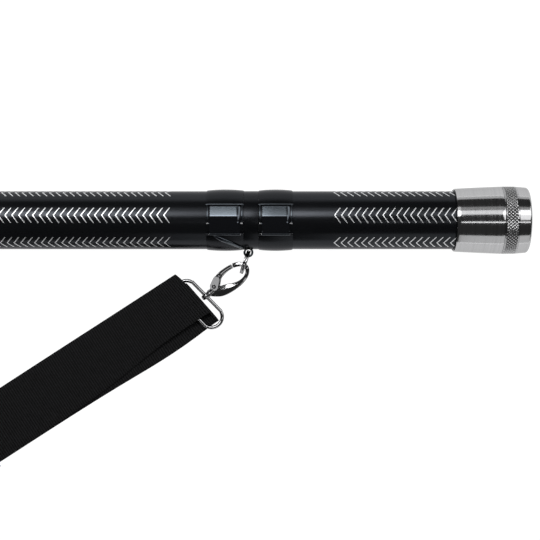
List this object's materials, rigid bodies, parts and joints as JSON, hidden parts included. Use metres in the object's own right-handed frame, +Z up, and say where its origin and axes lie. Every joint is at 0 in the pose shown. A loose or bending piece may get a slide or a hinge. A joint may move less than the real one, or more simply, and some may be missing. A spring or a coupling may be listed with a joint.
{
  "type": "drawing tube",
  "caption": "Telescopic tube for rolled drawings, with clamp collars that lock its sliding end sections, pull-off metal lids and a clip-on webbing shoulder strap.",
  "frame": {"origin": "bottom centre of the whole object, on the surface it lies on, between the tube and its strap", "axes": "+X along the tube, +Y from the strap towards the tube, +Z up"},
  "size_m": [1.1146, 0.2724, 0.058],
  "materials": {
    "tube_finish": "satin black anodised aluminium with printed chevrons",
    "moulded_black": "fine satin moulding",
    "lever_black": "high gloss",
    "turned_aluminium": "fine turned, satin",
    "sleeve_aluminium": "drawn tube, satin",
    "polished_steel": "polished nickel plate",
    "seal_rubber": "soft black rubber",
    "pad_foam": "closed-cell foam",
    "webbing": "ribbed polypropylene webbing"
  },
  "bodies": {
    "root": {"middle_tube": "tube_finish", "strap_webbing": "webbing", "strap_slider": "polished_steel", "right_coupling_sleeve": "sleeve_aluminium", "right_collar_ring": "moulded_black", "right_inner_clamp": "moulded_black", "right_inner_lever_pin": "polished_steel", "right_strap_loop": "polished_steel", "left_coupling_sleeve": "sleeve_aluminium", "left_collar_ring": "moulded_black", "left_inner_clamp": "moulded_black", "left_inner_lever_pin": "polished_steel", "left_strap_loop": "polished_steel"},
    "right_section": {"right_end_tube": "tube_finish", "right_outer_clamp": "moulded_black", "right_outer_lever_pin": "polished_steel", "right_ferrule": "turned_aluminium", "right_mouth_ring": "moulded_black"},
    "right_inner_latch": {"right_inner_lever": "lever_black", "right_inner_lever_bail": "polished_steel"},
    "right_outer_latch": {"right_outer_lever": "lever_black", "right_outer_lever_bail": "polished_steel"},
    "right_lid_assembly": {"right_lid": "turned_aluminium", "right_lid_seal": "seal_rubber", "right_lid_foam_pad": "pad_foam"},
    "right_ring_link": {"right_split_ring": "polished_steel"},
    "right_hook": {"right_hook_body": "polished_steel", "right_gate_pin": "polished_steel", "right_swivel_post": "polished_steel"},
    "right_gate": {"right_hook_gate": "polished_steel"},
    "left_section": {"left_end_tube": "tube_finish", "left_outer_clamp": "moulded_black", "left_outer_lever_pin": "polished_steel", "left_ferrule": "turned_aluminium", "left_mouth_ring": "moulded_black"},
    "left_inner_latch": {"left_inner_lever": "lever_black", "left_inner_lever_bail": "polished_steel"},
    "left_outer_latch": {"left_outer_lever": "lever_black", "left_outer_lever_bail": "polished_steel"},
    "left_lid_assembly": {"left_lid": "turned_aluminium", "left_lid_seal": "seal_rubber", "left_lid_foam_pad": "pad_foam"},
    "left_ring_link": {"left_split_ring": "polished_steel"},
    "left_hook": {"left_hook_body": "polished_steel", "left_gate_pin": "polished_steel", "left_swivel_post": "polished_steel"},
    "left_gate": {"left_hook_gate": "polished_steel"}
  },
  "joints": [
    {"name": "right_section_slide", "type": "slide", "parent": "root", "child": "right_section", "axis": [1, 0, 0], "range_m": [0, 0.09]},
    {"name": "right_inner_lever_hinge", "type": "hinge", "parent": "root", "child": "right_inner_latch", "pos_m": [0.2978, 0.09446, 0.05231], "axis": [1, 0, 0], "range_deg": [0, 80]},
    {"name": "right_outer_lever_hinge", "type": "hinge", "parent": "right_section", "child": "right_outer_latch", "pos_m": [0.34095, 0.09446, 0.05231], "axis": [1, 0, 0], "range_deg": [0, 80]},
    {"name": "right_lid_pull", "type": "slide", "parent": "right_section", "child": "right_lid_assembly", "axis": [1, 0, 0], "range_m": [0, 0.035]},
    {"name": "right_ring_swing", "type": "hinge", "parent": "root", "child": "right_ring_link", "pos_m": [0.3175, 0.07947, 0.029], "axis": [0.9432, -0.3321, 0], "range_deg": [-3, 5.5]},
    {"name": "right_hook_swivel", "type": "hinge", "parent": "root", "child": "right_hook", "pos_m": [0.3001, 0.05637, 0.0141], "axis": [-0.7465, -0.5499, -0.3746], "range_deg": [-11, 11]},
    {"name": "right_gate_hinge", "type": "hinge", "parent": "right_hook", "child": "right_gate", "pos_m": [0.28784, 0.05019, 0.00863], "axis": [0.3016, 0.2222, -0.9272], "range_deg": [0, 16], "stiffness_Nm_per_rad": 0.02, "springref_deg": -8.59},
    {"name": "left_section_slide", "type": "slide", "parent": "root", "child": "left_section", "axis": [-1, 0, 0], "range_m": [0, 0.09]},
    {"name": "left_inner_lever_hinge", "type": "hinge", "parent": "root", "child": "left_inner_latch", "pos_m": [-0.2978, 0.09446, 0.05231], "axis": [1, 0, 0], "range_deg": [0, 80]},
    {"name": "left_outer_lever_hinge", "type": "hinge", "parent": "left_section", "child": "left_outer_latch", "pos_m": [-0.34095, 0.09446, 0.05231], "axis": [1, 0, 0], "range_deg": [0, 80]},
    {"name": "left_lid_pull", "type": "slide", "parent": "left_section", "child": "left_lid_assembly", "axis": [-1, 0, 0], "range_m": [0, 0.035]},
    {"name": "left_ring_swing", "type": "hinge", "parent": "root", "child": "left_ring_link", "pos_m": [-0.3175, 0.07947, 0.029], "axis": [0.9432, 0.3321, 0], "range_deg": [-3, 5.5]},
    {"name": "left_hook_swivel", "type": "hinge", "parent": "root", "child": "left_hook", "pos_m": [-0.3001, 0.05637, 0.0141], "axis": [0.7465, -0.5499, -0.3746], "range_deg": [-11, 11]},
    {"name": "left_gate_hinge", "type": "hinge", "parent": "left_hook", "child": "left_gate", "pos_m": [-0.28784, 0.05019, 0.00863], "axis": [0.3016, -0.2222, 0.9272], "range_deg": [0, 16], "stiffness_Nm_per_rad": 0.02, "springref_deg": -8.59}
  ]
}
